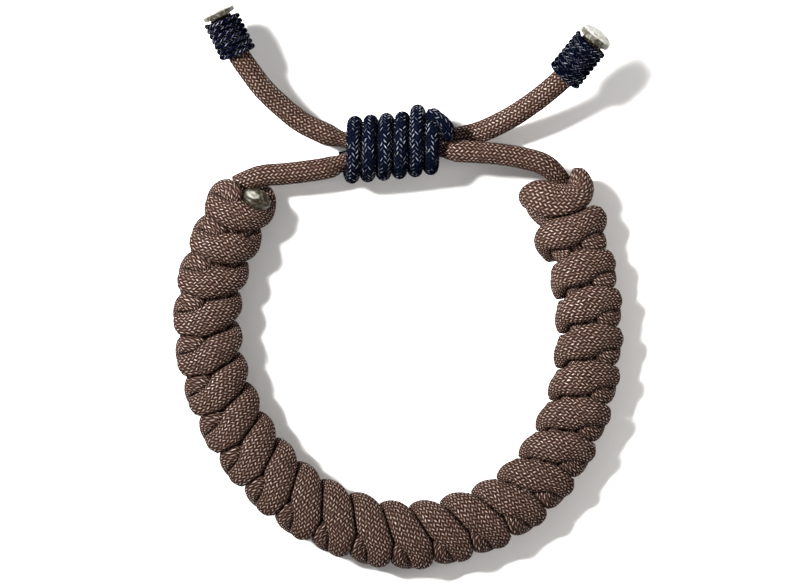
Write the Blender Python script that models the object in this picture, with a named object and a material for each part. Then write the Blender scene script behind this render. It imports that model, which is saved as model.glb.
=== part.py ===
"""Rope bracelet: a snake-knot sinnet of two brown cords, closed by a black sliding knot.

The sinnet lies flat in an open ring. Strand A makes the full-width bands of the upper face and
strand B those of the underside: B is A turned half round about the sinnet's axis and moved on by
half a pitch, so that each cord passes under the other's bump at the edge. One cord leaves each end
of the sinnet as a tail. The two tails cross inside the sliding knot and end in a whipping of thin
black cord and a melted tip.

The sinnet's own frame is (outward, up, along): outward from the ring in units of LAY, up in units of
LAY, and along the ring in knots, clockwise as seen from above from the top of the right arm.
"""

import math

import bmesh
import bpy
import numpy as np
from mathutils import Vector

# Driving dimensions, in metres
MM = 0.001
CORD = 4.0 * MM                 # brown cord, lying free
LAY = 2.4 * MM                  # between the middles of cords squeezed together in the sinnet
KNOTS = 25                      # bands on the upper face
BAND_HALF_WIDTH = 3.4 * MM
EDGE_HALF_WIDTH = 2.15 * MM       # where a band turns over the sinnet's edge
BAND_HALF_THICKNESS = 1.95 * MM
FIRST_LOOP = (20.0 * MM, 3.5 * MM, 0.3 * MM)  # where strand A is looser: middle, reach, extra radius
SQUASH_GAP = 0.68 * MM          # left between squeezed cords
SECTION_STEP = 2.22 * MM        # between sections of a squeezed cord
SPAN_POINTS = 14
SKEW = (0.26, 0.14)             # knots that each LAY outward moves a band on, at the sinnet's ends
ROLL = (-15.0, 10.0)            # degrees that the sinnet's ends turn about it, outer edge up
BAND_SIDES = 8                  # corners of a squeezed cord's section
TUBE_SIDES = 8                  # corners of a round cord's section
SOFT_EDGE = 0.10 * MM           # rounding where a cord is pressed flat
DEPTH_SHARES = (0.7, 1.5)       # weights of cords inside the sinnet and on it, which share the room
THINNEST = 0.35 * MM
PRESS_STEP = 0.5 * MM           # between the points that press on a cord
PRESS_REACH = 3 * LAY           # cords further away don't press
OWN_STRETCH = 0.65 * LAY        # nearer along it, a cord doesn't press on itself
OWN_TAIL = 4.0 * MM             # nor does this much of the tail that carries it on
PRESSING_TAIL = 16.0 * MM       # the length of each tail that presses on the strands
B_REACH = (0.80, 0.89)          # strand B's reach outward as a share of strand A's: first knot, the rest
EDGE_REACH = 1.5                # the reach, in LAY, past which that share holds fully
END_WIDTH = 3.2 * MM            # where a strand goes over into a tail or ends
END_LENGTH = 1.5 * CORD         # over which it grows round there
RING_STEP = 0.25 * MM

BLACK_CORD = 2.65 * MM          # sliding knot
SLIDER_TURNS = 6
SLIDER_CORE = 7.0 * MM          # the two tails squeezed together inside the turns
PRESSED_END = 0.85              # thickness of that cord's end, as a share of BLACK_CORD
PROUD_TURN = (4.80, 0.18, 0.8 * MM)  # where a turn stands up, over how many turns, and how far
GRIPPED = 0.72                  # a tail's thickness inside the sliding knot, as a share of CORD
GRIP_REACH = 0.66               # how far from the knot's middle a tail is slim, and over which
GRIP_FADE = 0.12                # stretch it thickens, as shares of the knot's length
THREAD = 0.96 * MM              # whipping cord
WHIP_PITCH = 1.03 * MM
WHIP_GAP = 0.45 * MM            # between a tail and its whipping
WHIP_TURNS = {"left": 6.75, "right": 7.75}
TIP_RADIUS = 3.05 * MM
TIP_THICKNESS = {"left": 1.3 * MM, "right": 1.7 * MM}
STUB_SIZE = (5.4 * MM, 4.2 * MM, 1.3 * MM)
FACE_GAP = 0.3 * MM             # between pieces that meet
JOIN_GAP = 0.6 * MM             # between a strand and its tail, which turn as they meet
TAIL_STEP = 4.0 * MM            # between points of a tail

# Middle line of the sinnet, in millimetres: x, y
RING_ROUTE = [
    (27.9, 25.5), (30.8, 19.5), (33.6, 10.5), (34.6, 0.0), (32.8, -12.5), (26.7, -24.5),
    (16.8, -32.8), (0.4, -36.6), (-16.0, -31.5), (-26.8, -21.5), (-33.0, -9.65), (-35.05, 1.5),
    (-33.75, 12.0), (-27.3, 27.7),
]

# One knot of strand A: outward, up, along
KNOT = [
    (0.09, -0.58, 0.13), (-0.18, -0.56, 0.45), (-0.60, -0.75, 0.72), (-1.32, -0.78, 0.86),
    (-1.80, -0.20, 0.81), (-1.85, 0.55, 0.60), (-1.42, 1.08, 0.41), (-0.70, 1.36, 0.23),
    (0.15, 1.42, 0.07), (0.95, 1.22, -0.06), (1.62, 0.80, -0.12), (1.68, 0.25, -0.05),
    (1.28, -0.12, 0.12), (1.00, -0.32, 0.40), (0.62, -0.50, 0.76),
]

# Strand A where the sinnet begins: its end is hidden below, and its first band wraps the shoulder
A_START = [
    (0.34, -0.75, -0.20),
    (-0.05, -0.70, 0.02),
    (-0.44, -0.81, 0.14),
    (-1.10, -0.85, 0.19),
    (-1.65, -0.22, 0.19),
    (-1.64, 0.58, 0.19),
    (-1.15, 1.19, 0.24),
    (-0.46, 1.49, 0.32),
    (0.37, 1.61, 0.27),
    (1.18, 1.63, 0.08),
    (1.79, 1.55, -0.24),
    (1.98, 1.24, -0.50),
    (2.00, 0.60, -0.62),
    (2.02, -0.13, -0.50),
    (1.89, -0.49, -0.21),
    (1.51, -0.57, 0.10),
    (1.06, -0.50, 0.43),
    (0.65, -0.48, 0.75),
    (0.17, -0.56, 1.10),
    (-0.13, -0.54, 1.39),
    (-0.72, -0.77, 1.62),
    (-1.49, -0.87, 1.64),
    (-2.03, -0.31, 1.56),
    (-2.07, 0.44, 1.44),
    (-1.59, 1.03, 1.32),
    (-0.75, 1.36, 1.17),
    (0.29, 1.49, 0.95),
    (1.23, 1.43, 0.73),
    (1.95, 1.02, 0.58),
    (2.04, 0.43, 0.66),
    (1.52, -0.08, 1.00),
    (1.05, -0.32, 1.38),
    (0.62, -0.50, 1.76),
]

# Strand A where the sinnet ends: it comes out from under the last bump and turns inward
A_FINISH = [(1.02, -0.26, 24.42), (0.95, -0.06, 24.66)]

# Strand B where the sinnet begins: it comes from the tail and goes in under the first band
B_START = [(1.15, 0.22, -0.46), (0.88, 0.26, -0.14), (0.42, 0.42, 0.24)]

# Strand B where the sinnet ends: its cut end stands up beside the tail
B_FINISH = [(-0.91, 0.33, 24.23), (-0.91, 0.53, 24.47), (-0.84, 1.17, 24.70)]

# Tails in millimetres from the middle of the ring and of the sinnet's depth: x, y, z
TAIL_LEFT = [
    (-24.9, 28.9, 1.1), (-20.7, 29.3, 1.1), (-16.4, 29.8, 1.1), (-12.5, 30.5, 0.9), (-8.6, 32.1, 0.6),
    (-4.8, 32.9, 0.0), (-1.0, 33.95, -0.35), (3.0, 35.0, -0.35), (6.9, 36.1, -0.1), (10.5, 35.9, -0.8),
    (14.7, 36.9, -0.3), (19.5, 39.1, 1.2), (24.1, 42.0, 3.0), (27.8, 44.9, 4.7), (30.8, 47.7, 6.1),
    (32.95, 50.7, 7.2), (35.0, 53.15, 7.9),
]
TAIL_RIGHT = [
    (26.6, 30.8, 2.2), (22.6, 32.1, 2.7), (17.5, 32.9, 3.1), (12.0, 33.3, 3.3), (9.2, 33.45, 2.85),
    (6.9, 33.85, 2.35), (3.0, 34.45, 2.85), (-1.0, 34.7, 2.9), (-4.8, 35.1, 2.5), (-8.6, 35.2, 1.85),
    (-11.6, 35.9, 1.9), (-14.4, 37.0, 1.9), (-17.9, 38.8, 2.0), (-21.4, 41.6, 2.3), (-24.7, 44.8, 2.8),
    (-27.2, 48.1, 3.3), (-29.1, 50.9, 3.7), (-30.75, 54.3, 4.2), (-32.35, 57.6, 4.7),
]
SLIDER_AXIS = [
    (-9.7, 33.55, 1.25), (-6.8, 33.8, 1.25), (-4.0, 34.05, 1.25), (-1.1, 34.35, 1.25),
    (1.8, 34.65, 1.25), (4.6, 35.15, 1.3), (7.5, 35.1, 1.25),
]

# End of the sliding knot's cord, in the same way: it comes up between the last two turns and bends
# over the last one
SLIDER_END = [(5.25, 39.85, 6.65), (6.6, 39.5, 7.15), (7.9, 38.6, 7.2), (8.8, 37.4, 6.6), (9.0, 36.1, 5.4)]


def unit(v):
    return v / np.linalg.norm(v, axis=-1, keepdims=True)


def arc_length(points):
    return np.concatenate([[0.0], np.cumsum(np.linalg.norm(np.diff(points, axis=0), axis=1))])


def catmull_rom(rows, per_span):
    """Smooth curve through the rows: a Catmull-Rom cubic on each span, per_span points to a span."""
    p = np.asarray(rows, dtype=float)
    p = np.vstack([2 * p[0] - p[1], p, 2 * p[-1] - p[-2]])
    t = np.linspace(0.0, 1.0, per_span, endpoint=False)[:, None]
    spans = []
    for a, b, c, d in zip(p, p[1:], p[2:], p[3:]):
        cubic = 3 * b - a - 3 * c + d
        square = 2 * a - 5 * b + 4 * c - d
        spans.append(0.5 * (2 * b + (c - a) * t + square * t ** 2 + cubic * t ** 3))
    spans.append(p[-2][None])
    return np.vstack(spans)


def at_lengths(points, lengths):
    """Rows of a polyline read at the given arc lengths of its first three columns."""
    s = arc_length(points[:, :3])
    return np.stack([np.interp(lengths, s, column) for column in points.T], axis=1)


def evenly(points, step):
    total = arc_length(points)[-1]
    return at_lengths(points, np.linspace(0.0, total, int(round(total / step)) + 1))


class Ring:
    """The sinnet's middle line, which turns (outward, up, along) into a place in space."""

    def __init__(self, route):
        flat = catmull_rom([(x * MM, y * MM, 0.0) for x, y in route], 40)
        self.line = evenly(flat, RING_STEP)
        self.length = arc_length(self.line)
        self.ahead = unit(np.gradient(self.line, axis=0))
        self.pitch = self.length[-1] / KNOTS

    def place(self, rows):
        outward, up, along = np.asarray(rows, dtype=float).T
        arm = 2 * along / KNOTS - 1
        skew = np.interp(arm, (-1, 1), SKEW) * arm ** 2
        s = (along + skew * outward) * self.pitch
        roll = np.radians(np.interp(arm, (-1, 1), ROLL))
        outward, up = outward * np.cos(roll) - up * np.sin(roll), outward * np.sin(roll) + up * np.cos(roll)
        beyond = np.minimum(s, 0.0) + np.maximum(s - self.length[-1], 0.0)
        middle = np.stack([np.interp(s, self.length, c) for c in self.line.T], axis=1)
        ahead = np.stack([np.interp(s, self.length, c) for c in self.ahead.T], axis=1)
        side = np.stack([-ahead[:, 1], ahead[:, 0], np.zeros(len(s))], axis=1)
        place = middle + ahead * beyond[:, None] + side * outward[:, None] * LAY
        place[:, 2] += up * LAY
        return place


def knots(first, last):
    """Rows of KNOT for each knot from first to last, the last one left out."""
    return [(outward, up, along + k) for k in range(first, last) for outward, up, along in KNOT]


def turned(rows):
    """The same rows half round the sinnet's axis and half a pitch on, their edges drawn in a little."""
    outward, up, along = np.array(rows).T
    drawn_in = 1 - (1 - np.interp(along, (0, 1), B_REACH)) * np.minimum((outward / EDGE_REACH) ** 2, 1)
    return list(zip(-outward * drawn_in, -up, along + 0.5))


def cord_lines(ring, rows, tail, tail_leads):
    """Middle lines of a strand and of the tail that carries it on, from one smooth curve.

    rows are the strand's, tail is the tail's route, and tail_leads says that the tail's end of the
    strand is its first. Returns a row for each section of the strand (its middle, the sinnet's axis
    beside it and the way ahead) and the tail's points from the sinnet outwards.
    """
    rows = np.asarray(rows)
    rows = rows[::-1] if tail_leads else rows
    route = np.array(tail) * MM
    middle = catmull_rom(np.vstack([ring.place(rows), route]), SPAN_POINTS)
    axis = catmull_rom(np.vstack([ring.place(rows * [0.0, 0.0, 1.0]), route]), SPAN_POINTS)
    ahead = unit(np.gradient(middle, axis=0))
    join = arc_length(middle)[(len(rows) - 1) * SPAN_POINTS]
    end = arc_length(middle)[-1]
    count = int(round(join / SECTION_STEP)) + 1
    strand = at_lengths(np.hstack([middle, axis, ahead]), np.linspace(0.0, join - JOIN_GAP / 2, count))
    count = int(round((end - join) / TAIL_STEP)) + 1
    tail_points = at_lengths(middle, np.linspace(join + JOIN_GAP / 2, end, count))
    strand = strand[::-1] * ([1] * 6 + [-1] * 3) if tail_leads else strand
    return strand, tail_points


def soft_minimum(values, softness):
    low = values.min(axis=-1, keepdims=True)
    return low[..., 0] - softness * np.log(np.exp((low - values) / softness).sum(axis=-1))


def cords_to_press(lines, tails):
    """Every point that a strand is pressed against: place, cord number, length, weight, kept radius.

    A tail keeps its own round section. A strand has a kept radius of 0, and gives way by its weight.
    """
    parts = []
    for number, line in enumerate(lines):
        length = np.arange(0.0, arc_length(line[:, :3])[-1], PRESS_STEP)
        row = at_lengths(line, length)
        weight = depth_weight(row[:, :3], row[:, 3:6])
        parts.append(np.column_stack([row[:, :3], np.full(len(length), number), length, weight, 0 * length]))
    for number, line in enumerate(tails):
        length = np.arange(0.0, PRESSING_TAIL, PRESS_STEP)
        row = at_lengths(np.column_stack([line, tail_thickness(line) * CORD / 2]), length)
        label = np.full(len(length), number + len(lines))
        parts.append(np.column_stack([row[:, :3], label, length, 0 * length, row[:, 3]]))
    return np.vstack(parts)


def depth_weight(points, axis):
    """A cord's weight, which grows with its distance from the sinnet's axis."""
    return np.clip(np.linalg.norm(points - axis, axis=1) / LAY, *DEPTH_SHARES)


def squeezed_sections(strand, number, pressed):
    """Sections of a soft cord pressed against its neighbours.

    Each section starts as a flat oval, wide along the sinnet's surface and thin outwards, and grows
    round towards the strand's two ends. It is cut back to a plane between it and every near point of
    the cords, less half the gap between cords. Of two cords the outer one has the greater share of
    the room: the plane divides the distance by their weights.
    """
    points, axis, ahead = strand[:, :3], strand[:, 3:6], unit(strand[:, 6:])
    outward = points - axis
    outward = unit(outward - (outward * ahead).sum(1)[:, None] * ahead)
    wide = np.cross(ahead, outward)
    angle = (np.arange(BAND_SIDES) + 0.5) * 2 * math.pi / BAND_SIDES
    reach = np.cos(angle)[None, :, None] * wide[:, None] + np.sin(angle)[None, :, None] * outward[:, None]
    half_width = EDGE_HALF_WIDTH + (BAND_HALF_WIDTH - EDGE_HALF_WIDTH) * outward[:, 2:] ** 2
    oval = 1 / np.hypot(np.cos(angle) / half_width, np.sin(angle) / BAND_HALF_THICKNESS)
    length = arc_length(points)
    if number == 0:
        middle, spread, extra = FIRST_LOOP
        oval += extra * np.exp(-((length - middle) / spread) ** 2)[:, None]
    weight = depth_weight(points, axis)
    radius = np.empty((len(points), BAND_SIDES))
    for i, point in enumerate(points):
        away = pressed[:, :3] - point
        far = np.linalg.norm(away, axis=1)
        itself = (pressed[:, 3] == number) & (np.abs(pressed[:, 4] - length[i]) < OWN_STRETCH)
        itself |= (pressed[:, 3] == number + 2) & (pressed[:, 4] < OWN_TAIL)
        near = (far < PRESS_REACH) & ~itself
        away, far, (other, kept) = away[near], far[near], pressed[near, 5:].T
        share = weight[i] / (weight[i] + other)
        room = np.where(kept > 0.0, far - kept - SQUASH_GAP, far * share - SQUASH_GAP / 2)
        facing = np.maximum(reach[i] @ away.T, 0.02 * far)
        to_end = min(length[i], length[-1] - length[i])
        rounded = max(0.0, 1 - to_end / END_LENGTH)
        free = oval[i] * (1 - rounded) + END_WIDTH / 2 * rounded
        limit = np.vstack([(room * far / facing).T, free[None]])
        radius[i] = soft_minimum(limit.T, SOFT_EDGE)
    radius = np.maximum(radius, THINNEST)
    return points[:, None] + reach * radius[..., None]


def loft(name, sections, material, parent):
    """Closed skin through the sections, which all have the same number of corners."""
    rings, sides, _ = sections.shape
    bm = bmesh.new()
    rows = [[bm.verts.new(corner) for corner in ring] for ring in sections]
    for near, far in zip(rows, rows[1:]):
        for k in range(sides):
            j = (k + 1) % sides
            bm.faces.new((near[k], near[j], far[j], far[k]))
    bm.faces.new(rows[0][::-1])
    bm.faces.new(rows[-1])
    bmesh.ops.triangulate(bm, faces=bm.faces[:])
    bmesh.ops.recalc_face_normals(bm, faces=bm.faces[:])
    mesh = bpy.data.meshes.new(name)
    bm.to_mesh(mesh)
    bm.free()
    mesh.shade_smooth()
    return put(name, mesh, material, parent)


def put(name, data, material, parent):
    data.materials.append(material)
    thing = bpy.data.objects.new(name, data)
    thing.parent = parent
    bpy.data.collections["rope_bracelet"].objects.link(thing)
    return thing


def tube(name, points, radius, material, parent):
    """Round cord along the points. Each section is turned as little as possible from the one before."""
    ahead = unit(np.gradient(points, axis=0))
    side = np.cross(ahead[0], [0.0, 0.0, 1.0])
    angle = np.arange(TUBE_SIDES)[:, None] * 2 * math.pi / TUBE_SIDES
    sections = []
    for point, forward, r in zip(points, ahead, np.broadcast_to(radius, len(points))):
        side = unit(side - (side @ forward) * forward)
        above = np.cross(forward, side)
        sections.append(point + r * (np.cos(angle) * side + np.sin(angle) * above))
    return loft(name, np.array(sections), material, parent)


def slider_radius(turns):
    """From the sliding knot's middle to its cord after so many turns."""
    at, spread, height = PROUD_TURN
    return (SLIDER_CORE + BLACK_CORD) / 2 + height * np.exp(-((turns - at) / spread) ** 2)


def coil(route, radius, turns, per_turn):
    """Points of a helix about a nearly straight route, which starts on its lower side."""
    forward = unit(route[-1] - route[0])
    side = unit(np.cross(forward, [0.0, 0.0, 1.0]))
    upward = np.cross(side, forward)
    share = np.linspace(0.0, 1.0, int(turns * per_turn) + 1)
    middle = at_lengths(route, share * arc_length(route)[-1])
    angle = (share * turns - 0.25) * 2 * math.pi
    out = np.cos(angle)[:, None] * side + np.sin(angle)[:, None] * upward
    return middle + np.broadcast_to(radius, share.shape)[:, None] * out


def surface(name, rgb, roughness):
    material = bpy.data.materials.new(name)
    material.use_nodes = True
    shader = material.node_tree.nodes["Principled BSDF"]
    shader.inputs["Base Color"].default_value = (*rgb, 1.0)
    shader.inputs["Roughness"].default_value = roughness
    return material


def straight_piece(name, place, ahead, data, material, parent):
    """A piece made about its own Z axis, set at place with Z along ahead."""
    thing = put(name, data, material, parent)
    thing.location = place
    thing.rotation_mode = "QUATERNION"
    thing.rotation_quaternion = Vector(ahead).to_track_quat("Z", "Y")
    return thing


def disc(name, radius, thickness, edge, sides):
    """Round flat head with a rounded rim, standing on z = 0."""
    profile = [(0.0, 0.0), (radius - edge, 0.0), (radius, edge), (radius, thickness - edge),
               (radius - edge, thickness), (0.0, thickness)]
    bm = bmesh.new()
    rows = []
    for r, z in profile[1:-1]:
        turn = [k * 2 * math.pi / sides for k in range(sides)]
        rows.append([bm.verts.new((r * math.cos(a), r * math.sin(a), z)) for a in turn])
    bm.faces.new(rows[0][::-1])
    bm.faces.new(rows[-1])
    for low, high in zip(rows, rows[1:]):
        for k in range(sides):
            j = (k + 1) % sides
            bm.faces.new((low[k], low[j], high[j], high[k]))
    mesh = bpy.data.meshes.new(name)
    bm.to_mesh(mesh)
    bm.free()
    return mesh


def tail_thickness(line):
    """Share of CORD at each point: slimmer at the sinnet and in the sliding knot."""
    length = arc_length(line)
    a, b = (np.array(SLIDER_AXIS[end]) * MM for end in (0, -1))
    share = (line - a) @ unit(b - a) / np.linalg.norm(b - a)
    gripped = np.clip((GRIP_REACH - np.abs(share - 0.5)) / GRIP_FADE, 0.0, 1.0)
    leaving = np.clip(1 - length / CORD, 0.0, 1.0)
    return (1 - (1 - GRIPPED) * gripped) * (1 - (1 - END_WIDTH / CORD) * leaving)


def main():
    for thing in list(bpy.data.objects):
        bpy.data.objects.remove(thing)
    collection = bpy.data.collections.new("rope_bracelet")
    bpy.context.scene.collection.children.link(collection)
    bracelet = bpy.data.objects.new("bracelet", None)
    collection.objects.link(bracelet)

    brown = surface("brown_cord", (0.115, 0.062, 0.044), 0.8)
    black = surface("black_cord", (0.006, 0.007, 0.013), 0.7)
    melted = surface("melted_nylon", (0.30, 0.28, 0.22), 0.35)

    ring = Ring(RING_ROUTE)
    a_rows = A_START + knots(2, KNOTS)[:-2] + A_FINISH
    b_rows = B_START + turned(knots(0, KNOTS - 1))[:-1] + B_FINISH
    a_line, left = cord_lines(ring, a_rows, TAIL_LEFT, False)
    b_line, right = cord_lines(ring, b_rows, TAIL_RIGHT, True)
    pressed = cords_to_press([a_line, b_line], [left, right])
    a_skin = squeezed_sections(a_line, 0, pressed)
    b_skin = squeezed_sections(b_line, 1, pressed)
    loft("sinnet_strand_a", a_skin, brown, bracelet)
    loft("sinnet_strand_b", b_skin, brown, bracelet)
    tube("tail_left", left, tail_thickness(left) * CORD / 2, brown, bracelet)
    tube("tail_right", right, tail_thickness(right) * CORD / 2, brown, bracelet)

    axis = catmull_rom(np.array(SLIDER_AXIS) * MM, 8)
    radius = slider_radius(np.linspace(0, SLIDER_TURNS, SLIDER_TURNS * 12 + 1))
    slider = coil(axis, radius, SLIDER_TURNS, 12)
    tube("sliding_knot", slider, BLACK_CORD / 2, black, bracelet)
    slider_end = catmull_rom(np.array(SLIDER_END) * MM, 3)
    tube("sliding_knot_end", slider_end, BLACK_CORD * PRESSED_END / 2, black, bracelet)
    for side, line in (("left", right), ("right", left)):
        ahead = unit(line[-1] - line[-3])
        turns = WHIP_TURNS[side]
        ends = line[-1] - np.outer([turns * WHIP_PITCH + THREAD / 2, THREAD / 2], ahead)
        radius = CORD / 2 + WHIP_GAP + THREAD / 2
        tube("whipping_" + side, coil(ends, radius, turns, 9), THREAD / 2, black, bracelet)
        tip = disc("melted_tip_" + side, TIP_RADIUS, TIP_THICKNESS[side], 0.3 * MM, 20)
        straight_piece("melted_tip_" + side, line[-1] + ahead * FACE_GAP, ahead, tip, melted, bracelet)

    cut_end, ahead = b_line[-1, :3], b_line[-1, 6:]
    stub = disc("melted_stub", 0.5, 1.0, 0.2, 20)
    piece = straight_piece("melted_stub", cut_end + ahead * FACE_GAP, ahead, stub, melted, bracelet)
    piece.scale = STUB_SIZE

    sinnet = np.vstack([a_skin.reshape(-1, 3), b_skin.reshape(-1, 3)])
    low, high = sinnet.min(0), sinnet.max(0)
    bracelet.location = (-(low[0] + high[0]) / 2, -(low[1] + high[1]) / 2, -low[2])


main()
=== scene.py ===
"""Looks of the rope bracelet: braided brown cords squeezed in a snake-knot sinnet, a black sliding
knot, whippings and melted cord ends, on a pale floor.

The cords follow the same routes as the CAD, sampled finely. Lengths are in metres.
"""

import math

import bpy
import numpy as np
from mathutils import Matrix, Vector


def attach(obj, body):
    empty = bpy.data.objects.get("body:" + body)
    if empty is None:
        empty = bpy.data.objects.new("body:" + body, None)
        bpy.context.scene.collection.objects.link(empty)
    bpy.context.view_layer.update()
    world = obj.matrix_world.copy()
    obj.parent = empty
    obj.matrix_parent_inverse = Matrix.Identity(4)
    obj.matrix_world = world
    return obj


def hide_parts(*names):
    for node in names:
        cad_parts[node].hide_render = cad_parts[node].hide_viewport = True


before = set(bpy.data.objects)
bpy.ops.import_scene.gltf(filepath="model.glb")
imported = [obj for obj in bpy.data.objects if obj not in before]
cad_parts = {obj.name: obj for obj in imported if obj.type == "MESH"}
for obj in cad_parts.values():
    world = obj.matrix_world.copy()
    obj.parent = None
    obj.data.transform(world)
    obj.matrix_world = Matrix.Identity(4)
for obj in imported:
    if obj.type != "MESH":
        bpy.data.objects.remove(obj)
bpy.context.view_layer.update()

# Sizes shared with the CAD
MM = 0.001
CORD = 4.0 * MM                 # brown cord, lying free
LAY = 2.4 * MM                  # between the middles of cords squeezed together in the sinnet
KNOTS = 25                      # bands on the upper face
BAND_HALF_WIDTH = 3.4 * MM
EDGE_HALF_WIDTH = 2.15 * MM     # where a band turns over the sinnet's edge
BAND_HALF_THICKNESS = 1.95 * MM
FIRST_LOOP = (20.0 * MM, 3.5 * MM, 0.3 * MM)  # where strand A is looser: middle, reach, extra radius
SPAN_POINTS = 14                # points of a strand's curve from one of its rows to the next
SKEW = (0.26, 0.14)             # knots that each LAY outward moves a band on, at the sinnet's ends
ROLL = (-15.0, 10.0)            # degrees that the sinnet's ends turn about it, outer edge up
DEPTH_SHARES = (0.7, 1.5)       # weights of cords inside the sinnet and on it, which share the room
PRESS_REACH = 3 * LAY           # cords further away don't press
OWN_STRETCH = 0.65 * LAY        # nearer along it, a cord doesn't press on itself
PRESSING_TAIL = 16.0 * MM       # the length of each tail that presses on the strands
OWN_TAIL = 4.0 * MM             # this much of the tail that carries a strand on doesn't press on it
B_REACH = (0.80, 0.89)          # strand B's reach outward as a share of A's: first knot, the rest
EDGE_REACH = 1.5                # the reach, in LAY, past which that share holds fully
END_WIDTH = 3.2 * MM            # where a strand goes over into a tail or ends
END_LENGTH = 1.5 * CORD         # over which it grows round there
RING_STEP = 0.25 * MM           # between points of the ring's middle line
BLACK_CORD = 2.65 * MM          # cord of the sliding knot
SLIDER_TURNS = 6
SLIDER_CORE = 7.0 * MM          # the two tails squeezed together inside the turns
PROUD_TURN = (4.80, 0.18, 0.8 * MM)  # where a turn stands up, over how many turns, and how far
GRIPPED = 0.72                  # a tail's thickness inside the sliding knot, as a share of CORD
GRIP_REACH = 0.66               # how far from the knot's middle a tail is slim, and over which
GRIP_FADE = 0.12                # stretch it thickens, as shares of the knot's length
THREAD = 0.96 * MM              # whipping cord
WHIP_PITCH = 1.03 * MM
WHIP_GAP = 0.45 * MM            # between a tail and its whipping
WHIP_TURNS = {"left": 6.75, "right": 7.75}
TIP_RADIUS = 3.05 * MM
TIP_THICKNESS = {"left": 1.3 * MM, "right": 1.7 * MM}
STUB_SIZE = (5.4 * MM, 4.2 * MM, 1.3 * MM)
FACE_GAP = 0.3 * MM             # between pieces that meet
JOIN_GAP = 0.6 * MM             # between a strand and its tail, which turn as they meet
LIFT = np.array([0.2825, 6.2657, 5.4839]) * MM  # from the ring's own middle to the model's origin

# Finer than the CAD's
SECTION_STEP = 0.55 * MM        # between sections of a strand
STRAND_SIDES = 36
SQUASH_GAP = 0.06 * MM          # left between squeezed cords
SOFT_EDGE = 0.12 * MM           # rounding where a cord is pressed flat
THINNEST = 0.35 * MM
GRAZING = 0.02                  # least share of a pressing cord's direction that a ray faces
PRESS_STEP = 0.5 * MM           # between the points that press on a cord
TUBE_STEP = 0.22 * MM           # between sections of a tail
TAIL_SIDES = 40
SLIDER_SIDES = 32
SLIDER_STEPS = 120              # sections of a turn
THREAD_SIDES = 16
THREAD_STEPS = 90
HEAD_SIDES = 48
PRESSED_END = 0.92              # thickness of the sliding knot's cord end, as a share of BLACK_CORD
TIP_POINTS = 20                 # a tail's last points, which give the way that its tip faces

# Middle line of the sinnet, in millimetres: x, y
RING_ROUTE = [
    (27.9, 25.5), (30.8, 19.5), (33.6, 10.5), (34.6, 0.0), (32.8, -12.5), (26.7, -24.5),
    (16.8, -32.8), (0.4, -36.6), (-16.0, -31.5), (-26.8, -21.5), (-33.0, -9.65), (-35.05, 1.5),
    (-33.75, 12.0), (-27.3, 27.7),
]

# One knot of strand A: outward and up in units of LAY, along in knots
KNOT = [
    (0.09, -0.58, 0.13), (-0.18, -0.56, 0.45), (-0.60, -0.75, 0.72), (-1.32, -0.78, 0.86),
    (-1.80, -0.20, 0.81), (-1.85, 0.55, 0.60), (-1.42, 1.08, 0.41), (-0.70, 1.36, 0.23),
    (0.15, 1.42, 0.07), (0.95, 1.22, -0.06), (1.62, 0.80, -0.12), (1.68, 0.25, -0.05),
    (1.28, -0.12, 0.12), (1.00, -0.32, 0.40), (0.62, -0.50, 0.76),
]

# Its first two knots, its last turn, and the two ends of strand B
A_START = [
    (0.34, -0.75, -0.20), (-0.05, -0.70, 0.02), (-0.44, -0.81, 0.14), (-1.10, -0.85, 0.19),
    (-1.65, -0.22, 0.19), (-1.64, 0.58, 0.19), (-1.15, 1.19, 0.24), (-0.46, 1.49, 0.32),
    (0.37, 1.61, 0.27), (1.18, 1.63, 0.08), (1.79, 1.55, -0.24), (1.98, 1.24, -0.50),
    (2.00, 0.60, -0.62), (2.02, -0.13, -0.50), (1.89, -0.49, -0.21), (1.51, -0.57, 0.10),
    (1.06, -0.50, 0.43), (0.65, -0.48, 0.75), (0.17, -0.56, 1.10), (-0.13, -0.54, 1.39),
    (-0.72, -0.77, 1.62), (-1.49, -0.87, 1.64), (-2.03, -0.31, 1.56), (-2.07, 0.44, 1.44),
    (-1.59, 1.03, 1.32), (-0.75, 1.36, 1.17), (0.29, 1.49, 0.95), (1.23, 1.43, 0.73),
    (1.95, 1.02, 0.58), (2.04, 0.43, 0.66), (1.52, -0.08, 1.00), (1.05, -0.32, 1.38),
    (0.62, -0.50, 1.76),
]
A_FINISH = [(1.02, -0.26, 24.42), (0.95, -0.06, 24.66)]
B_START = [(1.15, 0.22, -0.46), (0.88, 0.26, -0.14), (0.42, 0.42, 0.24)]
B_FINISH = [(-0.91, 0.33, 24.23), (-0.91, 0.53, 24.47), (-0.84, 1.17, 24.70)]

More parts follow.
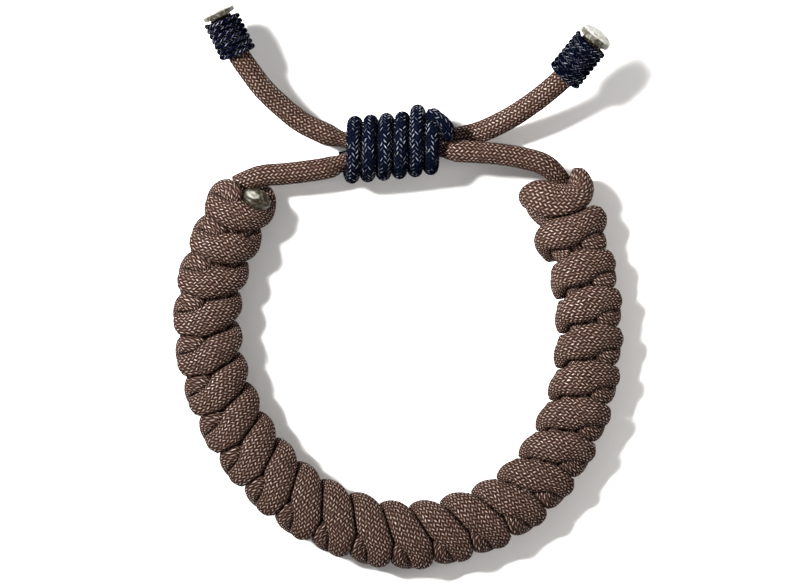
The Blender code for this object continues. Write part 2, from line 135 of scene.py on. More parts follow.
# Tails and sliding knot, in millimetres from the middle of the ring and of the sinnet's depth
TAIL_LEFT = [
    (-24.9, 28.9, 1.1), (-20.7, 29.3, 1.1), (-16.4, 29.8, 1.1), (-12.5, 30.5, 0.9),
    (-8.6, 32.1, 0.6), (-4.8, 32.9, 0.0), (-1.0, 33.95, -0.35), (3.0, 35.0, -0.35),
    (6.9, 36.1, -0.1), (10.5, 35.9, -0.8), (14.7, 36.9, -0.3), (19.5, 39.1, 1.2),
    (24.1, 42.0, 3.0), (27.8, 44.9, 4.7), (30.8, 47.7, 6.1), (32.95, 50.7, 7.2),
    (35.0, 53.15, 7.9),
]
TAIL_RIGHT = [
    (26.6, 30.8, 2.2), (22.6, 32.1, 2.7), (17.5, 32.9, 3.1), (12.0, 33.3, 3.3),
    (9.2, 33.45, 2.85), (6.9, 33.85, 2.35), (3.0, 34.45, 2.85), (-1.0, 34.7, 2.9),
    (-4.8, 35.1, 2.5), (-8.6, 35.2, 1.85), (-11.6, 35.9, 1.9), (-14.4, 37.0, 1.9),
    (-17.9, 38.8, 2.0), (-21.4, 41.6, 2.3), (-24.7, 44.8, 2.8), (-27.2, 48.1, 3.3),
    (-29.1, 50.9, 3.7), (-30.75, 54.3, 4.2), (-32.35, 57.6, 4.7),
]
SLIDER_AXIS = [
    (-9.7, 33.55, 1.25), (-6.8, 33.8, 1.25), (-4.0, 34.05, 1.25), (-1.1, 34.35, 1.25),
    (1.8, 34.65, 1.25), (4.6, 35.15, 1.3), (7.5, 35.1, 1.25),
]
SLIDER_END = [
    (5.25, 39.85, 6.65), (6.6, 39.5, 7.15), (7.9, 38.6, 7.2), (8.8, 37.4, 6.6), (9.0, 36.1, 5.4),
]

# Melted heads: radii of the back's and the face's edge as shares of the height, waves round the
# rim and how deep they are, the dip that runs twice round the face and how far out it starts
BACK_EDGE, FACE_EDGE = 0.12, 0.30
HEAD_WAVES, WAVE_DEPTH = (2, 3, 5), 0.035
FACE_DIP, DIP_START = 0.10, 0.5

# Pale spots on the faces: middle and reach in half sizes, then the fade at a spot's edge and the
# share of the height above which a head is pale
TIP_SPOT, STUB_SPOT = (0.0, 0.0, 1.25), (-0.35, 0.1, 0.55)
PALE_FADE, PALE_ABOVE = 0.33, 0.72

# Scorched end of a tail: length, and the stretch over which it fades
SCORCHED, SCORCH_FADE = 1.8 * MM, 0.4 * MM
SCORCHED_COLOUR = (0.010, 0.008, 0.004)

# Sheaths: colours of yarn, crown and groove, where the crown's pale colour is partly the float's own
# lighter yarn and partly a painted highlight, and the groove's dark colour is painted shade between
# the yarns; yarns round the cord and length of a cell; how short and how thin a float's bright crown
# is, and the share of floats that are dull; relief; roughness and a crown's shine
SHEATHS = {
    "brown braided nylon": (
        ((0.053, 0.0300, 0.0230), (0.28, 0.210, 0.175), (0.0035, 0.0018, 0.0013)),
        (20, 0.80 * MM), (4.0, 36.0, 0.0), 0.20 * MM, (0.42, 0.9)),
    # The sinnet's copy of the same brown cord is painted lighter than the tails' copy, standing in for
    # how the light falls on each
    "brown squeezed nylon": (
        ((0.062, 0.0355, 0.0280), (0.32, 0.240, 0.200), (0.0035, 0.0018, 0.0013)),
        (24, 0.74 * MM), (4.0, 36.0, 0.0), 0.20 * MM, (0.42, 0.9)),
    "black braided nylon": (
        ((0.0024, 0.0036, 0.0092), (0.20, 0.21, 0.25), (0.0004, 0.0006, 0.0018)),
        (12, 0.78 * MM), (1.6, 60.0, 0.4), 0.20 * MM, (0.5, 0.38)),
    "black braided thread": (
        ((0.0008, 0.0013, 0.0050), (0.24, 0.25, 0.31), (0.0003, 0.0005, 0.0016)),
        (5, 0.70 * MM), (0.9, 130.0, 0.35), 0.10 * MM, (0.5, 0.38)),
}

# Braid, in cells. Pairs scale a value and then shift it
REPEAT = 4.0                    # two cells over and two under
YARN_ROUND = 3.6                # how round a yarn is across
YARN_DIVE = 0.8                 # how far its height falls towards a float's ends
STANDING = (0.3, 0.75)          # from a float's chance to its height
# A crown's brightness sets both its painted highlight in the colour and its real shine
BRIGHTNESS = (1.6, 0.1)         # from its chance, less the dull share, to its crown's brightness
CROWN_TOP = 1.25                # a crown's mask at its middle, before it is cut off at 1
# Mask of the painted shade in the grooves: its top, and how fast it falls as the yarn rises
GROOVE_TOP, GROOVE_FALL = 1.50, 1.7
WANDER, WANDER_SCALE = 0.5, 1100.0

# Melted nylon: streaks and speckles as scale, detail and distortion of a noise and the pair that
# makes a mask of it, and their two colours each
STREAKS, STREAK_MASK = (700.0, 3.0, 1.2), (4.5, -1.35)
SPECKLES, SPECKLE_MASK = (1900.0, 2.0, 0.0), (6.0, -3.1)
STREAKED = ((0.10, 0.095, 0.05), (0.40, 0.40, 0.37))
SPECKLED = (SCORCHED_COLOUR, (0.11, 0.09, 0.06))
PALE_UNEVEN, PALE_RISE = (0.8, -0.4), 3.0
MELTED_RELIEF, MELTED_ROUGHNESS = 0.15 * MM, 0.38

# Photograph: 5.5 px to the millimetre, the ring's middle at (399, 335)
PHOTO_SIZE = (800, 584)
PHOTO_MIDDLE = (399, 335)
PX_PER_MM = 5.5
SENSOR = 36.0
CAMERA_HEIGHT = 1.4
SEEN_TO = 10.0

# Stage
FLOOR_HALF = 1.5
FLOOR_COLOUR, FLOOR_ROUGHNESS = (0.93, 0.93, 0.925), 0.9
WORLD_LIGHT = 0.38

# Lamps: place, the point that they face, width and depth, spread, power, colour
LAMPS = {
    "key": ((-0.54, 0.34, 0.80), (0.01, 0.08, 0.0), (0.27, 0.20), 0.27, 0.60, (1.0, 0.99, 0.97)),
    "fill": ((0.18, 0.01, 0.14), (0.0, 0.0, 0.0), (0.08, 0.08), math.pi, 0.15, (1.0, 0.95, 0.90)),
}

UP = np.array([0.0, 0.0, 1.0])


def unit(v):
    """Each row divided by its length."""
    return v / np.linalg.norm(v, axis=-1, keepdims=True)


def arc_length(points):
    """Length of a polyline up to each of its points: the sum of the steps before it."""
    return np.concatenate([[0.0], np.cumsum(np.linalg.norm(np.diff(points, axis=0), axis=1))])


def catmull_rom(rows, per_span):
    """Smooth curve through the rows: on each span the Catmull-Rom cubic of its four rows."""
    p = np.asarray(rows, dtype=float)
    p = np.vstack([2 * p[0] - p[1], p, 2 * p[-1] - p[-2]])
    a, b, c, d = (p[k:len(p) - 3 + k, None] for k in range(4))
    t = np.linspace(0.0, 1.0, per_span, endpoint=False)[None, :, None]
    cubic = 3 * b - a - 3 * c + d
    square = 2 * a - 5 * b + 4 * c - d
    spans = 0.5 * (2 * b + (c - a) * t + square * t ** 2 + cubic * t ** 3)
    return np.vstack([spans.reshape(-1, p.shape[1]), p[-2][None]])


def at_lengths(points, lengths):
    """Rows of a polyline read at the given arc lengths of its first three columns."""
    s = arc_length(points[:, :3])
    return np.stack([np.interp(lengths, s, column) for column in points.T], axis=1)


def evenly(points, step):
    """The same polyline with points a step apart, or nearly, so that they fit a whole number of
    times."""
    total = arc_length(points)[-1]
    return at_lengths(points, np.linspace(0.0, total, int(round(total / step)) + 1))


def on_ring(rows):
    """Places of (outward, up, along) rows: along measures the ring's middle line in knots, outward
    and up are offsets across it in LAYs. Towards the sinnet's ends the bands slant by SKEW and the
    whole section turns by ROLL degrees."""
    flat = catmull_rom([(x * MM, y * MM, 0.0) for x, y in RING_ROUTE], 40)
    line = evenly(flat, RING_STEP)
    length = arc_length(line)
    heading = unit(np.gradient(line, axis=0))
    outward, up, along = np.asarray(rows, dtype=float).T
    arm = 2 * along / KNOTS - 1
    s = (along + np.interp(arm, (-1, 1), SKEW) * arm ** 2 * outward) * length[-1] / KNOTS
    roll = np.radians(np.interp(arm, (-1, 1), ROLL))
    across, above = outward, up
    outward = across * np.cos(roll) - above * np.sin(roll)
    up = across * np.sin(roll) + above * np.cos(roll)
    beyond = np.minimum(s, 0.0) + np.maximum(s - length[-1], 0.0)
    middle = np.stack([np.interp(s, length, c) for c in line.T], axis=1)
    ahead = np.stack([np.interp(s, length, c) for c in heading.T], axis=1)
    side = np.stack([-ahead[:, 1], ahead[:, 0], np.zeros(len(s))], axis=1)
    place = middle + ahead * beyond[:, None] + side * outward[:, None] * LAY
    place[:, 2] += up * LAY
    return place


def knots(first, last):
    """KNOT's rows again for each knot from first to before last, moved along by its number."""
    return [(outward, up, along + k) for k in range(first, last) for outward, up, along in KNOT]


def turned(rows):
    """The same rows half round the sinnet's axis and half a pitch on, their edges drawn in: the
    share drawn in grows with the square of the reach outward, up to EDGE_REACH."""
    outward, up, along = np.array(rows).T
    at_edge = np.minimum((outward / EDGE_REACH) ** 2, 1)
    drawn_in = 1 - (1 - np.interp(along, (0, 1), B_REACH)) * at_edge
    return list(zip(-outward * drawn_in, -up, along + 0.5))


def cord_lines(rows, tail, tail_leads):
    """Middle lines of a strand and of the tail that carries it on, cut from one smooth curve. The
    strand's rows hold its middle, the sinnet's axis beside it and the way ahead."""
    rows = np.asarray(rows)
    rows = rows[::-1] if tail_leads else rows
    route = np.array(tail) * MM
    middle = catmull_rom(np.vstack([on_ring(rows), route]), SPAN_POINTS)
    axis = catmull_rom(np.vstack([on_ring(rows * [0.0, 0.0, 1.0]), route]), SPAN_POINTS)
    ahead = unit(np.gradient(middle, axis=0))
    join = arc_length(middle)[(len(rows) - 1) * SPAN_POINTS]
    end = arc_length(middle)[-1]
    strand_lengths = np.linspace(0.0, join - JOIN_GAP / 2, int(round(join / SECTION_STEP)) + 1)
    strand = at_lengths(np.hstack([middle, axis, ahead]), strand_lengths)
    tail_lengths = np.linspace(join + JOIN_GAP / 2, end, int(round((end - join) / TUBE_STEP)) + 1)
    strand = strand[::-1] * ([1] * 6 + [-1] * 3) if tail_leads else strand
    return strand, at_lengths(middle, tail_lengths)


def soft_minimum(values, softness):
    """Least value of each row, rounded off where two are nearly as small: minus softness times the
    logarithm of the sum of exp(-value / softness)."""
    low = values.min(axis=-1, keepdims=True)
    return low[..., 0] - softness * np.log(np.exp((low - values) / softness).sum(axis=-1))


def depth_weight(points, axis):
    """A cord's weight, which grows with its distance from the sinnet's axis."""
    return np.clip(np.linalg.norm(points - axis, axis=1) / LAY, *DEPTH_SHARES)


def tail_thickness(line):
    """Share of CORD at each point: slimmer at the sinnet and in the sliding knot."""
    length = arc_length(line)
    a, b = (np.array(SLIDER_AXIS[end]) * MM for end in (0, -1))
    share = (line - a) @ unit(b - a) / np.linalg.norm(b - a)
    gripped = np.clip((GRIP_REACH - np.abs(share - 0.5)) / GRIP_FADE, 0.0, 1.0)
    leaving = np.clip(1 - length / CORD, 0.0, 1.0)
    return (1 - (1 - GRIPPED) * gripped) * (1 - (1 - END_WIDTH / CORD) * leaving)


def cords_to_press(lines, tails):
    """Every point that a strand is pressed against: place, cord number, length, weight and kept
    radius. A tail keeps its own round section; a strand gives way by its weight."""
    parts = []
    for number, line in enumerate(lines):
        length = np.arange(0.0, arc_length(line[:, :3])[-1], PRESS_STEP)
        row = at_lengths(line, length)
        label = np.full(len(length), number)
        weight = depth_weight(row[:, :3], row[:, 3:6])
        parts.append(np.column_stack([row[:, :3], label, length, weight, 0 * length]))
    for number, line in enumerate(tails):
        length = np.arange(0.0, PRESSING_TAIL, PRESS_STEP)
        row = at_lengths(np.column_stack([line, tail_thickness(line) * CORD / 2]), length)
        label = np.full(len(length), number + len(lines))
        parts.append(np.column_stack([row[:, :3], label, length, 0 * length, row[:, 3]]))
    return np.vstack(parts)


def squeezed_sections(strand, number, pressed):
    """Sections of a soft cord pressed against its neighbours, as a grid of places. Each section is
    a flat oval, wide along the sinnet's surface, that grows round at the strand's ends. It is cut
    back, with soft corners, to a plane between it and every near point of the cords, which divides
    the distance by the two cords' weights."""
    points, axis, ahead = strand[:, :3], strand[:, 3:6], unit(strand[:, 6:])
    outward = points - axis
    outward = unit(outward - (outward * ahead).sum(1)[:, None] * ahead)
    wide = np.cross(ahead, outward)
    angle = (np.arange(STRAND_SIDES) + 0.5) * 2 * math.pi / STRAND_SIDES
    cosine, sine = np.cos(angle), np.sin(angle)
    reach = cosine[None, :, None] * wide[:, None] + sine[None, :, None] * outward[:, None]
    half_width = EDGE_HALF_WIDTH + (BAND_HALF_WIDTH - EDGE_HALF_WIDTH) * outward[:, 2:] ** 2
    oval = 1 / np.hypot(cosine / half_width, sine / BAND_HALF_THICKNESS)
    length = arc_length(points)
    if number == 0:
        middle, spread, extra = FIRST_LOOP
        oval += extra * np.exp(-((length - middle) / spread) ** 2)[:, None]
    weight = depth_weight(points, axis)
    to_end = np.minimum(length, length[-1] - length)
    rounded = np.clip(1 - to_end / END_LENGTH, 0.0, 1.0)[:, None]
    free = oval * (1 - rounded) + END_WIDTH / 2 * rounded
    radius = np.empty((len(points), STRAND_SIDES))
    for i, point in enumerate(points):
        away = pressed[:, :3] - point
        far = np.linalg.norm(away, axis=1)
        itself = (pressed[:, 3] == number) & (np.abs(pressed[:, 4] - length[i]) < OWN_STRETCH)
        itself |= (pressed[:, 3] == number + 2) & (pressed[:, 4] < OWN_TAIL)
        near = (far < PRESS_REACH) & ~itself
        away, far, (other, kept) = away[near], far[near], pressed[near, 5:].T
        share = weight[i] / (weight[i] + other)
        room = np.where(kept > 0.0, far - kept - SQUASH_GAP, far * share - SQUASH_GAP / 2)
        facing = np.maximum(reach[i] @ away.T, GRAZING * far)
        radius[i] = soft_minimum(np.column_stack([room * far / facing, free[i]]), SOFT_EDGE)
    radius = np.maximum(radius, THINNEST)
    return points[:, None] + reach * radius[..., None]


def tube_sections(line, upward, radius, sides):
    """Round sections square to a line: the middle plus radius times cosine of the angle to the
    side plus radius times sine of it upward. radius is one number, or one for each section."""
    ahead = unit(np.gradient(line, axis=0))
    side = unit(np.cross(ahead, upward))
    above = np.cross(side, ahead)
    angle = np.arange(sides) * 2 * math.pi / sides
    cosine, sine = np.cos(angle)[None, :, None], np.sin(angle)[None, :, None]
    radius = np.broadcast_to(radius, len(line))
    return line[:, None] + (cosine * side[:, None] + sine * above[:, None]) * radius[:, None, None]


def slider_radius(turns):
    """From the knot's middle to its cord after so many turns: half the core and cord together,
    plus a height times exp(-((turns - place) / spread)^2), as one turn stands up over the rest."""
    place, spread, height = PROUD_TURN
    return (SLIDER_CORE + BLACK_CORD) / 2 + height * np.exp(-((turns - place) / spread) ** 2)


def coil(route, radius, turns, per_turn):
    """Helix about a nearly straight route: the middle moves evenly from its first to its last point
    while the angle goes round the given turns, from below. Returns the points and the way out."""
    route = np.asarray(route)
    forward = unit(route[-1] - route[0])
    side = unit(np.cross(forward, UP))
    upward = np.cross(side, forward)
    share = np.linspace(0.0, 1.0, int(turns * per_turn) + 1)
    middle = at_lengths(route, share * arc_length(route)[-1])
    radius = np.broadcast_to(radius, share.shape)[:, None]
    angle = (share * turns - 0.25) * 2 * math.pi
    out = np.cos(angle)[:, None] * side + np.sin(angle)[:, None] * upward
    return middle + radius * out, out


def skin(name, sections, node, material, stations=None):
    """Closed smooth skin over a grid of sections, with a fan over each end, in place of a CAD node.
    UV: the share of the way round a section, and the length along the cord in metres."""
    rings, sides, _ = sections.shape
    i, k = np.meshgrid(np.arange(rings - 1) * sides, np.arange(sides), indexing="ij")
    j = (k + 1) % sides
    quads = np.stack([i + k, i + j, i + sides + j, i + sides + k], axis=-1).reshape(-1, 4)
    middle = sections.mean(axis=1)
    first, last = rings * sides, rings * sides + 1
    k, j = np.arange(sides), (np.arange(sides) + 1) % sides
    top = (rings - 1) * sides
    fans = np.vstack([
        np.column_stack([np.full(sides, first), j, k]),
        np.column_stack([np.full(sides, last), top + k, top + j]),
    ])
    vertices = np.vstack([sections.reshape(-1, 3), middle[[0, -1]]]) + LIFT
    mesh = bpy.data.meshes.new(name)
    mesh.from_pydata(vertices.tolist(), [], quads.tolist() + fans.tolist())

    around = np.linalg.norm(np.roll(sections, -1, axis=1) - sections, axis=2)
    u = np.concatenate([np.zeros((rings, 1)), np.cumsum(around, axis=1)], axis=1)
    u /= u[:, -1:]
    v = arc_length(middle) if stations is None else stations
    v = np.repeat(v[:, None], sides + 1, axis=1)
    uv = np.stack([u, v], axis=-1)
    corners = np.stack([uv[:-1, :-1], uv[:-1, 1:], uv[1:, 1:], uv[1:, :-1]], axis=2)
    caps = np.repeat([[0.5, v[0, 0]], [0.5, v[-1, 0]]], 3 * sides, axis=0)
    places = np.vstack([corners.reshape(-1, 2), caps])
    mesh.uv_layers.new(name="cord").data.foreach_set("uv", places.astype(np.float32).ravel())
    mesh.shade_smooth()
    mesh.materials.append(material)
    piece = bpy.data.objects.new(name, mesh)
    bpy.context.scene.collection.objects.link(piece)
    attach(piece, "root")
    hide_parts(node)
    return piece


def mark(piece, name, values, sides):
    """Writes an attribute: values has one number for each section, or one for each of its points."""
    values = np.broadcast_to(np.reshape(values, (len(values), -1)), (len(values), sides)).ravel()
    whole = np.concatenate([values, values[:1], values[-1:]])
    attribute = piece.data.attributes.new(name, "FLOAT", "POINT")
    attribute.data.foreach_set("value", whole.astype(np.float32))


# Materials

def maths(tree, operation, first, second=None, third=None, clamp=False):
    """A Math node on up to three inputs, each a number or another node's output."""
    node = tree.nodes.new("ShaderNodeMath")
    node.operation = operation
    node.use_clamp = clamp
    for slot, value in zip(node.inputs, (first, second, third)):
        if value is None:
            continue
        if isinstance(value, (int, float)):
            slot.default_value = value
        else:
            tree.links.new(value, slot)
    return node.outputs[0]


def mixed(tree, kind, share, first, second):
    """A Mix node of colours or numbers: the first, and by the share the second."""
    node = tree.nodes.new("ShaderNodeMix")
    node.data_type = kind
    a, b, result = {"FLOAT": (2, 3, 0), "RGBA": (6, 7, 2)}[kind]
    for slot, value in zip((node.inputs[0], node.inputs[a], node.inputs[b]), (share, first, second)):
        if isinstance(value, tuple):
            slot.default_value = (*value, 1.0)
        else:
            tree.links.new(value, slot)
    return node.outputs[result]


def noise(tree, scale, detail, distortion):
    """A Noise Texture on Object coordinates."""
    node = tree.nodes.new("ShaderNodeTexNoise")
    node.inputs["Scale"].default_value = scale
    node.inputs["Detail"].default_value = detail
    node.inputs["Distortion"].default_value = distortion
    place = tree.nodes.new("ShaderNodeTexCoord")
    tree.links.new(place.outputs["Object"], node.inputs["Vector"])
    return node.outputs


def attribute(tree, name):
    """The value of a piece's attribute."""
    node = tree.nodes.new("ShaderNodeAttribute")
    node.attribute_name = name
    return node.outputs["Fac"]


def bumped(tree, shader, height, relief):
    """A Bump node of the given relief on a height, into the shader's Normal."""
    bump = tree.nodes.new("ShaderNodeBump")
    bump.inputs["Strength"].default_value = 1.0
    bump.inputs["Distance"].default_value = relief
    tree.links.new(height, bump.inputs["Height"])
    tree.links.new(bump.outputs["Normal"], shader.inputs["Normal"])


def braid_group():
    """Sheath braided two over, two under: along + across and along - across, in whole cells, number
    the yarns of the two ways. Where the difference of a point's two numbers is 0 or 1 in four, the
    first way is on top, else the second. Each float is two cells long and one wide. A noise makes
    the yarns wander a little."""
    tree = bpy.data.node_groups.new("braided sheath", "ShaderNodeTree")
    number, colour = "NodeSocketFloat", "NodeSocketColor"
    for name, kind in (("Yarns Round", number), ("Cell Length", number), ("Fleck Shortness", number),
                       ("Fleck Thinness", number), ("Dull Share", number), ("Yarn", colour),
                       ("Crown", colour), ("Groove Shade", colour)):
        tree.interface.new_socket(name=name, in_out="INPUT", socket_type=kind)
    for name, kind in (("Colour", colour), ("Height", number), ("Crown Mask", number)):
        tree.interface.new_socket(name=name, in_out="OUTPUT", socket_type=kind)
    given = tree.nodes.new("NodeGroupInput").outputs
    result = tree.nodes.new("NodeGroupOutput").inputs
    uv = tree.nodes.new("ShaderNodeUVMap")
    uv.uv_map = "cord"
    parts = tree.nodes.new("ShaderNodeSeparateXYZ")
    tree.links.new(uv.outputs[0], parts.inputs[0])
    wandered = tree.nodes.new("ShaderNodeSeparateColor")
    tree.links.new(noise(tree, WANDER_SCALE, 1.0, 0.0)["Color"], wandered.inputs[0])
    across = maths(tree, "MULTIPLY", parts.outputs[0], given["Yarns Round"])
    across = maths(tree, "MULTIPLY_ADD", wandered.outputs[0], WANDER, across)
    along = maths(tree, "DIVIDE", parts.outputs[1], given["Cell Length"])
    along = maths(tree, "MULTIPLY_ADD", wandered.outputs[1], WANDER, along)
    a = maths(tree, "ADD", along, across)
    b = maths(tree, "SUBTRACT", along, across)
    row_a, row_b = maths(tree, "FLOOR", a), maths(tree, "FLOOR", b)
    step = maths(tree, "FLOORED_MODULO", maths(tree, "SUBTRACT", row_a, row_b), REPEAT)
    second_on_top = maths(tree, "GREATER_THAN", step, 1.5)

    # How far along its float a point is, from -1 to 1, and how far across it, from -0.5 to 0.5
    beside_a = maths(tree, "ADD", maths(tree, "SUBTRACT", b, row_a), 2.0)
    beside_b = maths(tree, "SUBTRACT", maths(tree, "SUBTRACT", a, row_b), 1.0)
    far_a, far_b = maths(tree, "DIVIDE", beside_a, REPEAT), maths(tree, "DIVIDE", beside_b, REPEAT)
    far = mixed(tree, "FLOAT", second_on_top, far_a, far_b)
    float_number = maths(tree, "FLOOR", far)
    run = maths(tree, "MULTIPLY_ADD", maths(tree, "SUBTRACT", far, float_number), REPEAT, -2.0)
    yarn_number = mixed(tree, "FLOAT", second_on_top, row_a, row_b)
    over = mixed(tree, "FLOAT", second_on_top, a, b)
    side = maths(tree, "SUBTRACT", maths(tree, "SUBTRACT", over, yarn_number), 0.5)

    # Height: the root of one less the side squared, times one less the run to the fourth
    run_sq = maths(tree, "MULTIPLY", run, run)
    side_sq = maths(tree, "MULTIPLY", side, side)
    fallen = maths(tree, "MULTIPLY", side_sq, YARN_ROUND)
    round_yarn = maths(tree, "SQRT", maths(tree, "SUBTRACT", 1.0, fallen))
    dived = maths(tree, "MULTIPLY", maths(tree, "MULTIPLY", run_sq, run_sq), YARN_DIVE)
    height = maths(tree, "MULTIPLY", round_yarn, maths(tree, "SUBTRACT", 1.0, dived))

    # Each float stands, shines and carries its painted highlight a little differently, by the chance of
    # its own number
    cell = tree.nodes.new("ShaderNodeCombineXYZ")
    for slot, value in zip(cell.inputs, (yarn_number, float_number, second_on_top)):
        tree.links.new(value, slot)
    chances = tree.nodes.new("ShaderNodeTexWhiteNoise")
    tree.links.new(cell.outputs[0], chances.inputs["Vector"])
    chance = chances.outputs[0]
    stands = maths(tree, "MULTIPLY_ADD", chance, *STANDING)
    tree.links.new(maths(tree, "MULTIPLY", height, stands), result["Height"])

    # Crown: a lozenge about the float's middle, lighter partly in the yarn's own colour and partly as a
    # painted highlight. Painted shade in the grooves: where the height is small
    lozenge = maths(tree, "ADD", maths(tree, "MULTIPLY", run_sq, given["Fleck Shortness"]),
                    maths(tree, "MULTIPLY", side_sq, given["Fleck Thinness"]))
    crown = maths(tree, "SUBTRACT", CROWN_TOP, lozenge, clamp=True)
    lively = maths(tree, "SUBTRACT", chance, given["Dull Share"])
    crown = maths(tree, "MULTIPLY", crown, maths(tree, "MULTIPLY_ADD", lively, *BRIGHTNESS, clamp=True))
    # Painted shade: where a yarn lies low, its colour darkens towards the groove's
    low = maths(tree, "MULTIPLY", height, GROOVE_FALL)
    low = maths(tree, "SUBTRACT", GROOVE_TOP, low, clamp=True)
    yarn_and_groove_shade = mixed(tree, "RGBA", low, given["Yarn"], given["Groove Shade"])
    tree.links.new(mixed(tree, "RGBA", crown, yarn_and_groove_shade, given["Crown"]), result["Colour"])
    tree.links.new(crown, result["Crown Mask"])
    return tree


def cord_material(name, group):
    """Braided nylon: the sheath group gives its colour, with the floats' crowns lighter partly in their
    own colour and partly as a painted highlight, and painted shade in the grooves, and the height that
    bumps it, and a float's crown shines. The attribute scorched darkens it."""
    colours, weave, fleck, relief, (roughness, crown_shine) = SHEATHS[name]
    material = bpy.data.materials.new(name)
    material.use_nodes = True
    tree = material.node_tree
    shader = tree.nodes["Principled BSDF"]
    sheath = tree.nodes.new("ShaderNodeGroup")
    sheath.node_tree = group
    settings = ("Yarns Round", "Cell Length", "Fleck Shortness", "Fleck Thinness", "Dull Share")
    for setting, value in zip(settings, weave + fleck):
        sheath.inputs[setting].default_value = value
    for setting, colour in zip(("Yarn", "Crown", "Groove Shade"), colours):
        sheath.inputs[setting].default_value = (*colour, 1.0)
    bumped(tree, shader, sheath.outputs["Height"], relief)
    scorched = attribute(tree, "scorched")
    burnt = mixed(tree, "RGBA", scorched, sheath.outputs["Colour"], SCORCHED_COLOUR)
    tree.links.new(burnt, shader.inputs["Base Color"])
    shine = maths(tree, "MULTIPLY", sheath.outputs["Crown Mask"], crown_shine)
    tree.links.new(shine, shader.inputs["Specular IOR Level"])
    shader.inputs["Roughness"].default_value = roughness
    return material


def melted_material(name):
    """Nylon melted flat: pale with olive streaks where the attribute pale is 1, else dark and
    speckled. The streaks make the border between them uneven."""
    material = bpy.data.materials.new(name)
    material.use_nodes = True
    tree = material.node_tree
    shader = tree.nodes["Principled BSDF"]
    streaks = noise(tree, *STREAKS)["Fac"]
    speckles = noise(tree, *SPECKLES)["Fac"]
    pale = attribute(tree, "pale")
    streak = maths(tree, "MULTIPLY_ADD", streaks, *STREAK_MASK, clamp=True)
    speckle = maths(tree, "MULTIPLY_ADD", speckles, *SPECKLE_MASK, clamp=True)
    face = mixed(tree, "RGBA", streak, *STREAKED)
    rim = mixed(tree, "RGBA", speckle, *SPECKLED)
    share = maths(tree, "ADD", pale, maths(tree, "MULTIPLY_ADD", streaks, *PALE_UNEVEN))
    risen = maths(tree, "MULTIPLY", pale, PALE_RISE, clamp=True)
    share = maths(tree, "MULTIPLY", share, risen, clamp=True)
    tree.links.new(mixed(tree, "RGBA", share, rim, face), shader.inputs["Base Color"])
    bumped(tree, shader, speckles, MELTED_RELIEF)
    shader.inputs["Roughness"].default_value = MELTED_ROUGHNESS
    return material


# Pieces

def melted_head(name, place, ahead, half_sizes, height, node, material, spot):
    """Melted head of a cord. Up its rim the profile is a rounded edge; over its face it is flat.
    Round it, three low waves make it uneven, and the face dips twice. The attribute pale falls from
    1 to 0 over the third of a half size at the edge of a spot on the face."""
    side = unit(np.cross(ahead, UP))
    above = np.cross(side, ahead)
    back, edge = BACK_EDGE * height, FACE_EDGE * height
    quarter = np.linspace(0.0, math.pi / 2, 6)
    face = np.linspace(0.0, 1.0, 13)[1:-1]
    out = np.concatenate([
        [0.35, 0.7],
        1 - (back - back * np.sin(quarter)) / half_sizes[0],
        1 - (edge - edge * np.cos(quarter)) / half_sizes[0],
        (1 - edge / half_sizes[0]) * (1 - face),
    ])
    rise = np.concatenate([
        [0.0, 0.0],
        back - back * np.cos(quarter),
        height - edge + edge * np.sin(quarter),
        np.full(len(face), height),
    ])
    angle = np.arange(HEAD_SIDES) * 2 * math.pi / HEAD_SIDES
    wave = sum(np.sin(n * angle + height / MM * n) / n for n in HEAD_WAVES) * WAVE_DEPTH
    shape = out[:, None] * (1 - np.abs(wave) * (rise > 0)[:, None])
    dip = FACE_DIP * (1 + np.sin(2 * angle + height / MM))
    lift = rise[:, None] * (1 - dip * (out[:, None] > DIP_START))
    reach = half_sizes[0] * np.cos(angle)[:, None] * side
    reach = reach + half_sizes[1] * np.sin(angle)[:, None] * above
    sections = place + shape[..., None] * reach + lift[..., None] * ahead
    piece = skin(name, sections, node, material, stations=rise)
    x, y = out[:, None] * np.cos(angle) - spot[0], out[:, None] * np.sin(angle) - spot[1]
    pale = np.clip((spot[2] - np.hypot(x, y)) / PALE_FADE, 0.0, 1.0)
    mark(piece, "pale", pale * (rise > PALE_ABOVE * height)[:, None], HEAD_SIDES)
    return piece


def finished_tail(tail_side, tip_side, line, brown, thread, melted):
    """A tail with its whipping and melted tip. The tail is named for the arm that it leaves, and the
    whipping and the tip for the side that they lie on."""
    tail = skin("brown_tail_" + tail_side,
                tube_sections(line, UP, CORD / 2 * tail_thickness(line), TAIL_SIDES),
                "tail_" + tail_side, brown)
    to_end = arc_length(line)[-1] - arc_length(line)
    mark(tail, "scorched", np.clip((SCORCHED - to_end) / SCORCH_FADE, 0.0, 1.0), TAIL_SIDES)
    ahead = unit(line[-1] - line[-TIP_POINTS])
    turns = WHIP_TURNS[tip_side]
    ends = line[-1] - np.outer([turns * WHIP_PITCH + THREAD / 2, THREAD / 2], ahead)
    points, out = coil(ends, CORD / 2 + WHIP_GAP + THREAD / 2, turns, THREAD_STEPS)
    whipping = skin("wound_thread_" + tip_side, tube_sections(points, out, THREAD / 2, THREAD_SIDES),
                    "whipping_" + tip_side, thread)
    tip = melted_head("melted_head_" + tip_side, line[-1] + ahead * FACE_GAP, ahead,
                      (TIP_RADIUS, TIP_RADIUS), TIP_THICKNESS[tip_side], "melted_tip_" + tip_side,
                      melted, TIP_SPOT)


def sliding_knot(black):
    """The turns of black cord round both tails, and the end of that cord."""
    axis = catmull_rom(np.array(SLIDER_AXIS) * MM, 8)
    radius = slider_radius(np.linspace(0, SLIDER_TURNS, SLIDER_TURNS * SLIDER_STEPS + 1))
    points, out = coil(axis, radius, SLIDER_TURNS, SLIDER_STEPS)
    skin("black_slider", tube_sections(points, out, BLACK_CORD / 2, SLIDER_SIDES),
         "sliding_knot", black)
    points = evenly(catmull_rom(np.array(SLIDER_END) * MM, 12), TUBE_STEP)
    skin("black_slider_end",
         tube_sections(points, UP, BLACK_CORD / 2 * PRESSED_END, SLIDER_SIDES),
         "sliding_knot_end", black)


# Camera and stage

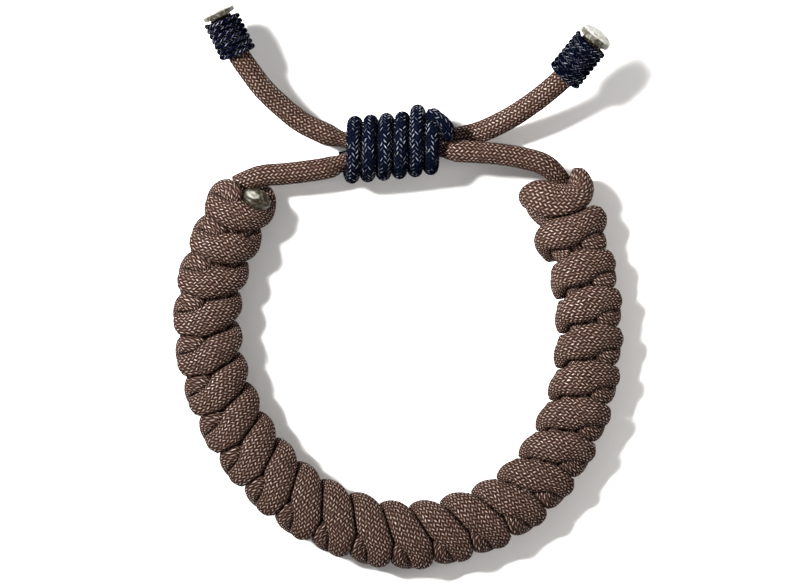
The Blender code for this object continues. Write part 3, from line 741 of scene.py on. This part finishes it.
def set_camera():
    """Straight above where the photograph's own middle lies, with its scale at the sinnet's middle
    height."""
    data = bpy.data.cameras.new("camera")
    data.sensor_width = SENSOR
    data.lens = SENSOR * CAMERA_HEIGHT / (PHOTO_SIZE[0] / PX_PER_MM * MM)
    data.clip_end = SEEN_TO
    camera = bpy.data.objects.new("camera", data)
    x = (PHOTO_SIZE[0] / 2 - PHOTO_MIDDLE[0]) / PX_PER_MM * MM + LIFT[0]
    y = (PHOTO_MIDDLE[1] - PHOTO_SIZE[1] / 2) / PX_PER_MM * MM + LIFT[1]
    camera.location = (x, y, CAMERA_HEIGHT + LIFT[2])
    bpy.context.scene.collection.objects.link(camera)
    bpy.context.scene.camera = camera


def area_light(name, place, aim, size, spread, power, colour):
    """An oval lamp at a place, turned towards the point aim."""
    data = bpy.data.lights.new(name, "AREA")
    data.shape = "ELLIPSE"
    data.size, data.size_y = size
    data.spread = spread
    data.energy = power
    data.color = colour
    lamp = bpy.data.objects.new(name, data)
    lamp.location = place
    lamp.rotation_mode = "QUATERNION"
    lamp.rotation_quaternion = (Vector(aim) - Vector(place)).to_track_quat("-Z", "Y")
    bpy.context.scene.collection.objects.link(lamp)


def set_stage():
    """White paper as the floor, an even white world and the lamps."""
    material = bpy.data.materials.new("white_paper")
    material.use_nodes = True
    shader = material.node_tree.nodes["Principled BSDF"]
    shader.inputs["Base Color"].default_value = (*FLOOR_COLOUR, 1.0)
    shader.inputs["Roughness"].default_value = FLOOR_ROUGHNESS
    mesh = bpy.data.meshes.new("floor")
    corners = [(x * FLOOR_HALF, y * FLOOR_HALF, 0) for x, y in ((-1, -1), (1, -1), (1, 1), (-1, 1))]
    mesh.from_pydata(corners, [], [(0, 1, 2, 3)])
    mesh.materials.append(material)
    floor = bpy.data.objects.new("floor", mesh)
    bpy.context.scene.collection.objects.link(floor)
    world = bpy.data.worlds.new("studio")
    world.use_nodes = True
    background = world.node_tree.nodes["Background"]
    background.inputs["Color"].default_value = (1.0, 1.0, 1.0, 1.0)
    background.inputs["Strength"].default_value = WORLD_LIGHT
    bpy.context.scene.world = world
    for name, lamp in LAMPS.items():
        area_light(name, *lamp)
    bpy.context.scene.view_settings.view_transform = "Standard"


def main():
    """The camera, the cords and what is on them, then the stage."""
    set_camera()
    group = braid_group()
    tail_brown, knot_brown, black, thread = (cord_material(name, group) for name in SHEATHS)
    melted = melted_material("melted nylon")

    a_rows = A_START + knots(2, KNOTS)[:-2] + A_FINISH
    b_rows = B_START + turned(knots(0, KNOTS - 1))[:-1] + B_FINISH
    a_line, left = cord_lines(a_rows, TAIL_LEFT, False)
    b_line, right = cord_lines(b_rows, TAIL_RIGHT, True)
    finished_tail("left", "right", left, tail_brown, thread, melted)
    finished_tail("right", "left", right, tail_brown, thread, melted)

    pressed = cords_to_press([a_line, b_line], [left, right])
    skin("brown_strand_a", squeezed_sections(a_line, 0, pressed),
         "sinnet_strand_a", knot_brown)
    skin("brown_strand_b", squeezed_sections(b_line, 1, pressed),
         "sinnet_strand_b", knot_brown)
    sliding_knot(black)

    cut_end, ahead = b_line[-1, :3], b_line[-1, 6:]
    melted_head("melted_stub_head", cut_end + ahead * FACE_GAP, ahead,
                (STUB_SIZE[0] / 2, STUB_SIZE[1] / 2), STUB_SIZE[2], "melted_stub", melted, STUB_SPOT)
    set_stage()


main()
